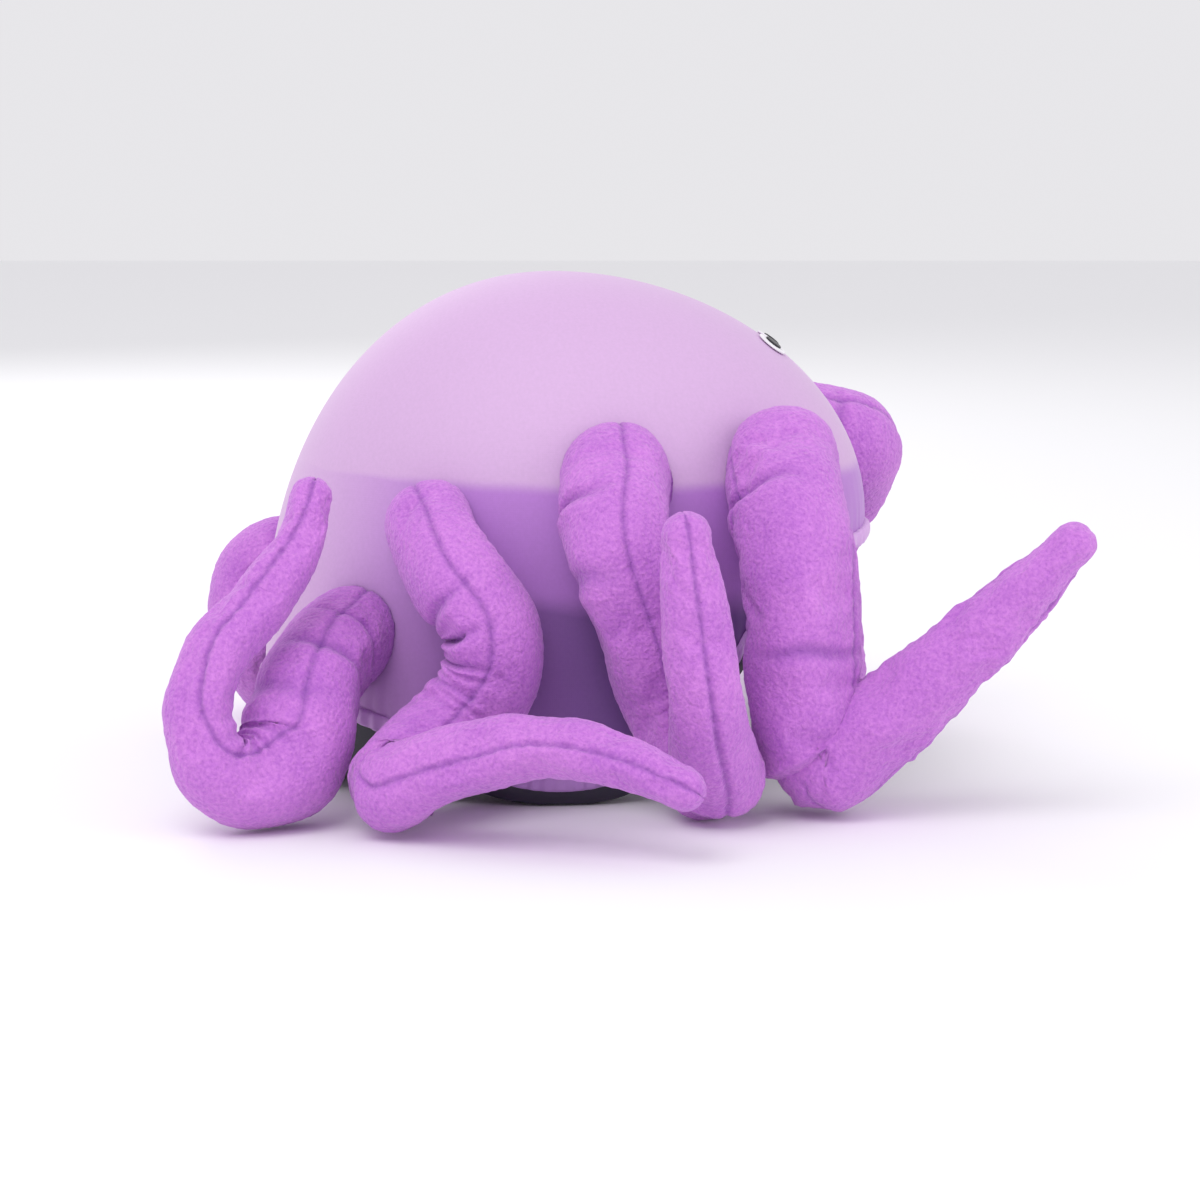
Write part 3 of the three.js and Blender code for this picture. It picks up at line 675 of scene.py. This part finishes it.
# ------------------------------------------------------------------ stuffed tentacles
# Eight limbs of polar fleece, each sewn from panels with a seam down its face and its back, stuffed
# with loose fibre and sewn to the crown by its open end. The fleece creases inside each bend and
# puckers along its seams.
SIDES = 32
CAP_ROWS = 5
FINE = 4
SEAM_FULL = 0.94

pile, pile_in, pile_out = group("pile", [("Nub", NUMBER, 620.0)], [("Height", NUMBER), ("Shade", NUMBER)])
pile_place = node(pile, "ShaderNodeTexCoord").outputs["Object"]
nubs = node(pile, "ShaderNodeTexNoise", {"Vector": pile_place, "Scale": pile_in.outputs["Nub"], "Detail": 3,
                                         "Roughness": 0.6})
tufts = node(pile, "ShaderNodeTexVoronoi", {"Vector": pile_place, "Scale": pile_in.outputs["Nub"]},
             feature="SMOOTH_F1")
patches = node(pile, "ShaderNodeTexNoise", {"Vector": pile_place, "Scale": 38.0, "Detail": 2})
tuft_height = math(pile, "MULTIPLY", math(pile, "SUBTRACT", 0.8, tufts.outputs["Distance"]), 0.6)
pile_height = math(pile, "ADD", nubs.outputs[0], tuft_height)
# Shade: painted shade, lighter on the highest nubs and darker between them, with broad random patches of
# tone.
pile_shade_and_patches = math(pile, "ADD", math(pile, "MULTIPLY", nubs.outputs[0], 0.75),
                  math(pile, "MULTIPLY", patches.outputs[0], 0.35))
pile.links.new(pile_height, pile_out.inputs["Height"])
pile.links.new(pile_shade_and_patches, pile_out.inputs["Shade"])


def fleece_cloth(name, low, high, seam_groove_and_shade):
    """Polar fleece: a nubby pile with painted shade between the nubs and broad patches of tone, and painted
    shade in its seams, creases and folds and where it meets the crown.
    """
    made, shader = plain_material(name, high, 0.95)
    tree = made.node_tree
    nap = node(tree, "ShaderNodeGroup", node_tree=pile)
    nap.inputs["Nub"].default_value = 620.0
    shade = node(tree, "ShaderNodeMapRange",
                 {"Value": nap.outputs["Shade"], "From Min": 0.30, "From Max": 0.82})
    tone = two_tone(tree, shade.outputs[0], low, high)
    # Painted shade: the mark read here mixes in the dark colour at seams, creases, folds and where a limb
    # meets the crown.
    hollow_shade = node(tree, "ShaderNodeAttribute", attribute_name="hollow_shade").outputs["Fac"]
    tinted = node(tree, "ShaderNodeMix", {0: hollow_shade, 6: tone, 7: (*seam_groove_and_shade, 1)}, data_type="RGBA")
    tree.links.new(tinted.outputs[2], shader.inputs["Base Color"])
    bumped(tree, shader, nap.outputs["Height"], 0.8, 0.0012)
    shader.inputs["Sheen Weight"].default_value = 0.35
    shader.inputs["Sheen Roughness"].default_value = 0.5
    shader.inputs["Sheen Tint"].default_value = (0.9, 0.7, 0.95, 1)
    return made


# The low and high tones are mixed by the pile's painted shade and random patches; the last colour is painted
# shade for seams, creases and folds.
fleece = fleece_cloth("lilac_fleece", (0.42, 0.115, 0.57), (0.72, 0.27, 0.78), (0.21, 0.06, 0.36))


def lumps(points, size, seed, waves=20):
    """A smooth random field, mostly from -1 to 1: the sum of plane waves of about one length."""
    draw = np.random.default_rng(seed)
    direction = draw.normal(size=(waves, 3))
    direction /= np.linalg.norm(direction, axis=1)[:, None]
    pace = 2 * np.pi / size * draw.uniform(0.7, 1.35, (waves, 1))
    phase = points @ (direction * pace).T + draw.uniform(0, 2 * np.pi, waves)
    return np.sin(phase).sum(-1) / np.sqrt(waves / 2) / 1.6


def stuffed(grid, poles, reach):
    """The limb's skin filled by a cloth simulation: its cloth is let out a little and blown up from
    inside while its seams are held, and no point may move further than reach."""
    trial = surface("trial_skin", grid, poles)
    held = trial.vertex_groups.new(name="held")
    rows, columns = grid.shape[:2]
    number = np.arange(rows * columns).reshape(rows, columns)
    seams = np.concatenate([number[:, 0], number[:, columns // 2], number[:2].ravel(), number[-2:].ravel(),
                            [rows * columns, rows * columns + 1]])
    held.add([int(k) for k in np.unique(seams)], 1.0, "REPLACE")
    cloth = trial.modifiers.new("cloth", "CLOTH")
    setting = cloth.settings
    setting.vertex_group_mass = "held"
    setting.use_pressure = True
    setting.uniform_pressure_force = 4
    setting.shrink_min = -0.012
    setting.tension_stiffness = 15
    setting.bending_stiffness = 4
    setting.quality = 6
    setting.effector_weights.gravity = 0
    cloth.point_cache.frame_start = 1
    cloth.point_cache.frame_end = 20
    for now in range(1, 21):
        scene.frame_set(now)
    shown = trial.evaluated_get(bpy.context.evaluated_depsgraph_get())
    filled = np.zeros(len(shown.data.vertices) * 3, np.float32)
    shown.data.vertices.foreach_get("co", filled)
    filled = filled.reshape(-1, 3)[:rows * columns].reshape(grid.shape).astype(float)
    bpy.data.objects.remove(trial)
    scene.frame_set(1)
    moved = filled - grid
    far = np.linalg.norm(moved, axis=-1, keepdims=True)
    return grid + moved * np.minimum(1, reach / np.maximum(far, 1e-9))


def finer(values, times, closed):
    """The rows of an array, with more between them on a smooth cubic through them."""
    count = len(values)
    place = np.arange(count * times if closed else (count - 1) * times + 1) / times
    base = np.floor(place).astype(int)
    t = (place - base).reshape(-1, *([1] * (values.ndim - 1)))
    near = [base + k for k in (-1, 0, 1, 2)]
    p0, p1, p2, p3 = (values[k % count if closed else np.clip(k, 0, count - 1)] for k in near)
    return 0.5 * (2 * p1 + (p2 - p0) * t + (2 * p0 - 5 * p1 + 4 * p2 - p3) * t ** 2
                  + (3 * p1 - p0 - 3 * p2 + p3) * t ** 3)


def clear_of_crown(points, gap):
    """Moves points that are inside the crown straight out from the helmet's upright axis to its face."""
    local = (points - HELMET) / MM
    turn = np.arctan2(local[..., 1], local[..., 0] - DOME["centre_x"])
    face = (dome_point(turn, np.clip(local[..., 2], 0, DOME["top"] - 1), 0) - HELMET) / MM
    wall = np.hypot(face[..., 0] - DOME["centre_x"], face[..., 1]) + gap
    now = np.hypot(local[..., 0] - DOME["centre_x"], local[..., 1])
    grow = np.maximum(wall / np.maximum(now, 1), 1)
    moved = local.copy()
    moved[..., 0] = DOME["centre_x"] + (local[..., 0] - DOME["centre_x"]) * grow
    moved[..., 1] = local[..., 1] * grow
    return moved * MM + HELMET, now - wall


# Each limb: its route as (x, y, z, radius) in mm from under the helmet, the route points that it bends
# on, the way its seam faces, and any deep creases as (share of its length, facing, depth, width) in mm.
TENTACLES = {
    "right_nape": {
        "route": [(-82, -86, 70, 22), (-92, -109, 61, 23.5), (-98, -128, 46, 24.5), (-103, -141, 27.5, 26),
                  (-119, -154, 21, 19), (-132, -160, 28, 16.5), (-138, -158, 47, 15), (-132, -151, 71, 14.5),
                  (-114, -138, 94, 14), (-100, -126, 116, 11.5), (-95, -119, 133, 8.5)],
        "bends": [1, 3, 6], "facing": (0.2, -0.6, 1),
        "creases": [(0.13, (1, 0, 1), 3.0, 3.5), (0.2, (0.6, -0.3, 1), 2.6, 3.5),
                    (0.27, (-0.4, 0, 1), 2.4, 4)]},
    "right_back": {
        "route": [(-47, -101, 119, 20), (-37, -123, 102, 21.5), (-22, -131, 82, 22.5), (-22, -130, 60, 22),
                  (-35, -133, 41, 21), (-59, -160, 21, 20.5), (-42, -174, 29, 16), (0, -189, 42, 14.5),
                  (31, -202, 39, 11.5), (56, -213, 31, 8.5)],
        "bends": [1, 5], "facing": (0, -1, 0.35),
        "creases": [(0.19, (-1, -0.5, 0), 2.6, 3), (0.25, (-1, -0.4, 0), 4.2, 3.2),
                    (0.3, (-1, -0.4, 0), 3.4, 3), (0.36, (-1, -0.2, 0), 2.4, 3)]},
    "right_ear": {
        "route": [(30, -98, 138, 25), (32, -127, 113, 23), (42, -127, 82, 21.5), (54, -124, 46, 21),
                  (70, -137, 20.5, 20), (67, -161, 48, 17.5), (62, -167, 88, 15), (58, -168, 124, 10)],
        "bends": [1, 4], "facing": (0.15, -1, 0.1),
        "creases": [(0.16, (-1, -0.3, 0), 3.4, 3), (0.24, (-1, -0.2, 0), 1.8, 3.5)]},
    "right_brow": {
        "route": [(101, -82, 143, 25), (104, -110, 118, 26), (107, -119, 86, 25.5), (108, -122, 52, 25),
                  (116, -123, 23.5, 23), (142, -128, 42, 20.5), (172, -133, 70, 17.5), (199, -138, 98, 13),
                  (216, -140, 116, 9.5)],
        "bends": [1, 4], "facing": (0.75, -0.35, -0.55),
        "creases": [(0.16, (-1, -0.5, 0.2), 3.4, 3.2), (0.36, (0.2, -1, 0), 2.2, 4)]},
    "left_nape": {
        "route": [(-112, 60, 84, 20), (-134, 63, 78, 20), (-141, 64, 58, 20), (-138, 68, 40, 19.5),
                  (-130, 82, 21, 20), (-130, 105, 18.5, 17.5), (-121, 135, 15.5, 14.5), (-103, 159, 12, 11.5),
                  (-84, 175, 9, 8.5)],
        "bends": [1, 4], "facing": (-0.7, 0.5, 0.8), "creases": [(0.12, (-0.5, -1, 0), 2.4, 3)]},
    "left_back": {
        "route": [(-47, 101, 119, 20), (-38, 122, 102, 21.5), (-31, 131, 80, 22), (-29, 131, 48, 21.5),
                  (-30, 139, 21.5, 20.5), (-24, 162, 18.5, 17.5), (-6, 190, 15, 14.5), (18, 210, 12, 11.5),
                  (44, 222, 9, 8.5)],
        "bends": [1, 4], "facing": (-0.3, 0.6, 0.8),
        "creases": [(0.22, (1, 0.4, 0), 3, 3), (0.28, (1, 0.3, 0), 2, 3)]},
    "left_ear": {
        "route": [(32, 99, 138, 25), (36, 127, 113, 23), (42, 128, 82, 21.5), (46, 127, 48, 21),
                  (50, 138, 21.5, 20), (54, 163, 18.5, 17.5), (62, 190, 15, 14.5), (76, 213, 12, 11.5),
                  (92, 231, 9, 8.5)],
        "bends": [1, 4], "facing": (-0.3, 0.6, 0.8), "creases": [(0.17, (-1, 0.3, 0), 3, 3)]},
    "left_brow": {
        "route": [(108, 62, 142, 24), (140, 73, 133, 26), (131, 94, 102, 24), (122, 99, 70, 22.5),
                  (131, 99, 26, 24), (130, 126, 20.5, 19.5), (124, 150, 16.5, 16), (117, 178, 13, 12.5),
                  (112, 200, 9.5, 9)],
        "bends": [1, 4], "facing": (0.8, -0.3, 0.6), "creases": [(0.14, (0.3, -1, 0), 2.6, 3)]},
}


def limb_skin(spec, seed):
    """A limb's fine skin, its shading marks, and the row and middle of each bend. Rings of a stuffed
    tube follow its route and close in a rounded tip. Then come seams, folds inside the bends, creases,
    lumps of stuffing and the nap, each as a push along the skin's normal."""
    route = np.array(spec["route"], float) * MM
    route[:, :3] += HELMET
    body_rows = int(smooth_line(route, 10)[2] / 0.004)
    line, shares, length = smooth_line(route, body_rows)
    centre = line[:, :3]
    radius = np.convolve(np.pad(line[:, 3], 4, "edge"), np.ones(9) / 9, "valid")
    along = np.gradient(centre, axis=0)
    along /= np.linalg.norm(along, axis=1)[:, None]
    lean = np.radians(np.linspace(90, 0, CAP_ROWS + 1)[1:-1])
    beyond = np.concatenate([-lean, np.zeros(body_rows), lean[::-1]])
    row = np.concatenate([np.zeros(len(lean), int), np.arange(body_rows), np.full(len(lean), body_rows - 1)])
    centre, radius, along = centre[row], radius[row], along[row]
    face = np.array(spec["facing"], float) - (along @ np.array(spec["facing"], float))[:, None] * along
    face /= np.linalg.norm(face, axis=1)[:, None]
    other = np.cross(along, face)
    turn = np.arange(SIDES) * 2 * np.pi / SIDES
    spoke = np.cos(turn)[None, :, None] * face[:, None] + np.sin(turn)[None, :, None] * other[:, None]
    ring = radius[:, None, None] * SEAM_FULL
    hub = centre + along * (radius * SEAM_FULL * np.sin(beyond))[:, None]
    grid = hub[:, None] + ring * np.cos(beyond)[:, None, None] * spoke
    poles = (centre[0] - along[0] * radius[0] * SEAM_FULL, centre[-1] + along[-1] * radius[-1] * SEAM_FULL)
    grid = stuffed(grid, poles, 0.1 * radius[:, None, None])

    skin = finer(finer(grid, FINE, False).swapaxes(0, 1), FINE, True).swapaxes(0, 1)
    mid = finer(hub, FINE, False)
    way = finer(along, FINE, False)
    way /= np.linalg.norm(way, axis=1)[:, None]
    wide = finer(radius, FINE, False)
    pace = np.concatenate([[0], np.cumsum(np.linalg.norm(np.diff(mid, axis=0), axis=1))])
    normal = np.cross(np.gradient(skin, axis=0), np.roll(skin, -1, 1) - np.roll(skin, 1, 1))
    normal /= np.maximum(np.linalg.norm(normal, axis=-1, keepdims=True), 1e-12)
    normal *= np.sign((normal * (skin - mid[:, None])).sum(-1, keepdims=True))

    # Seams: a narrow groove on the face and the back, deeper at each stitch, with short puckers.
    fine_turn = np.arange(SIDES * FINE) * 2 * np.pi / (SIDES * FINE)
    gap = np.abs(np.arcsin(np.sin(fine_turn)))[None, :] * wide[:, None]
    stitches = 0.75 + 0.25 * np.sin(pace * 2 * np.pi / 0.0062)[:, None]
    seam_groove_and_shade = np.exp(-(gap / 0.0013) ** 2)
    pucker = np.exp(-gap / 0.006) * np.sin(pace * 2 * np.pi / 0.0095 + 4 * np.sin(pace * 57))[:, None]
    push = -0.0013 * seam_groove_and_shade * stitches + 0.00018 * pucker

    # Folds: ripples on the inner side of each bend, as strong as the bend is tight.
    bend = np.gradient(way, axis=0) / np.maximum(np.gradient(pace), 1e-5)[:, None]
    padded = np.pad(bend, ((6, 6), (0, 0)), "edge")
    bend = np.stack([np.convolve(padded[:, k], np.ones(13) / 13, "valid") for k in range(3)], 1)
    tight = np.linalg.norm(bend, axis=1)
    inner = ((skin - mid[:, None]) * (bend / np.maximum(tight, 1e-6)[:, None])[:, None]).sum(-1) / np.maximum(
        wide, 1e-4)[:, None]
    strength = np.clip(tight * wide, 0, 1)[:, None] * np.clip(inner + 0.25, 0, 1)
    wander = lumps(skin, 0.05, seed + 1) * 1.6
    fold = np.sin(pace[:, None] * 2 * np.pi / 0.0105 + wander)
    push -= 0.0017 * strength * (0.5 - 0.5 * fold)

    # Creases listed for each limb, which run part of the way round.
    crease_shade = np.zeros_like(push)
    for share, facing, depth, width in spec["creases"]:
        toward = np.array(facing, float) / np.linalg.norm(facing)
        spread = np.clip((normal @ toward), 0, 1) ** 1.4
        bow = lumps(skin, 0.04, seed + 9) * 0.0022
        dip = np.exp(-((pace[:, None] - share * pace[-1] + bow) / (width * MM * 0.62)) ** 2) * spread
        past = pace[:, None] - share * pace[-1] - 1.5 * width * MM + bow
        swell = np.exp(-(past / (width * MM)) ** 2) * spread
        push += -depth * MM * dip + 0.35 * depth * MM * swell
        crease_shade = np.maximum(crease_shade, dip)

    push += 0.0007 * lumps(skin, 0.034, seed + 2) + 0.00016 * lumps(skin, 0.0042, seed + 3)
    skin = skin + normal * push[..., None]
    skin, apart = clear_of_crown(skin, 0.4)
    skin[..., 2] = np.where(skin[..., 2] < 0.0016, 0.0004 + 0.0012 * np.exp((skin[..., 2] - 0.0016) / 0.0012),
                            skin[..., 2])
    # Painted shade: darker in the seams, in the creases, in the folds inside the bends, and near the crown
    # where the limb is sewn on.
    sewn = np.exp(-np.maximum(apart, 0) / 1.8) * (pace[:, None] < 0.07)
    folded = strength * (0.5 - 0.5 * fold)
    hollow_shade = np.clip(0.5 * seam_groove_and_shade + 0.55 * crease_shade + 0.3 * folded + 0.55 * sewn, 0, 0.85)
    cap = (CAP_ROWS - 1) * FINE
    rows_at = [cap + int(round(shares[k] * (body_rows - 1))) * FINE for k in spec["bends"]]
    ends = (skin[0].mean(0), skin[-1].mean(0))
    return skin, hollow_shade, rows_at, mid, way, ends


def ball_end(skin, row, hub, way, sign):
    """A round end that hides in the next length, so that the two stay closed as they turn on each other:
    the ring drawn in over a half ball about the bend's middle."""
    spoke = skin[row] - hub
    spoke -= (spoke @ way)[:, None] * way
    reach = np.linalg.norm(spoke, axis=1).min()
    unit = spoke / np.linalg.norm(spoke, axis=1)[:, None]
    rise = np.radians([8, 22, 38, 54, 70])[:, None, None]
    ball = hub + 0.97 * reach * (np.cos(rise) * unit[None] + sign * np.sin(rise) * way)
    return ball, hub + sign * 0.97 * reach * way


for order, (limb, spec) in enumerate(TENTACLES.items()):
    skin, hollow_shade, bends, mid, way, ends = limb_skin(spec, 100 * order)
    neck, knee = bends[0], bends[1]
    ball, ball_pole = ball_end(skin, knee, mid[knee], way[knee], 1)
    grid = np.vstack([skin[:knee + 1], ball])
    shade = np.vstack([hollow_shade[:knee + 1], np.zeros(ball.shape[:2])])
    near = surface(f"{limb}_near_fleece", grid, (ends[0], ball_pole), marks={"hollow_shade": shade})
    ball, ball_pole = ball_end(skin, knee, mid[knee], way[knee], -1)
    grid = np.vstack([ball[::-1], skin[knee:]])
    shade = np.vstack([np.zeros(ball.shape[:2]), hollow_shade[knee:]])
    far = surface(f"{limb}_far_fleece", grid, (ball_pole, ends[1]), marks={"hollow_shade": shade})
    for piece in (near, far):
        piece.data.materials.append(fleece)
    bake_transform(near)
    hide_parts(f"tentacle_{limb}_root", f"tentacle_{limb}_upper")
    if len(bends) > 2:
        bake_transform(far)
        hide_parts(f"tentacle_{limb}_lower", f"tentacle_{limb}_tip")
    else:
        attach(far, f"{limb}_lower")
        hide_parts(f"tentacle_{limb}_lower")
